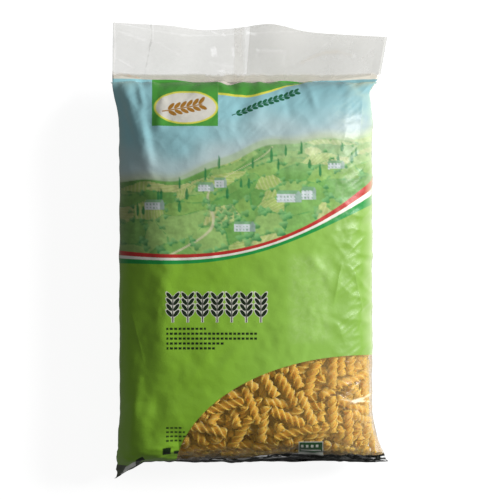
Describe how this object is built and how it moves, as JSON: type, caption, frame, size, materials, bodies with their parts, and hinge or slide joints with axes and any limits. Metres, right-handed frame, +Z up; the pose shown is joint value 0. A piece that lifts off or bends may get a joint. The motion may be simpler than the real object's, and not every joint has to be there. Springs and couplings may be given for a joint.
{
  "type": "pasta packet",
  "caption": "Large sealed plastic-film packet of twisted pasta lying on its back, with a clear flat flap at its top end and a clear curved window near its lower end",
  "frame": {"origin": "on the floor under the middle of the packet's bounding box", "axes": "+Y runs along the packet towards the clear flap, +X to the right of the printed front as read with the flap at the top, +Z up out of the printed front"},
  "size_m": [0.2774, 0.4588, 0.098],
  "materials": {
    "printed_film": "printed gloss film, sky blue over a countryside and a green field",
    "clear_film": "clear gloss film with a light frosty haze, on the flap and over the window",
    "seal_band": "dark green-black printed band over the end seal",
    "pasta": "dry durum pasta, golden yellow, slightly rough"
  },
  "bodies": {
    "root": {"film_bag": "printed_film", "fusilli": "pasta"}
  },
  "joints": []
}
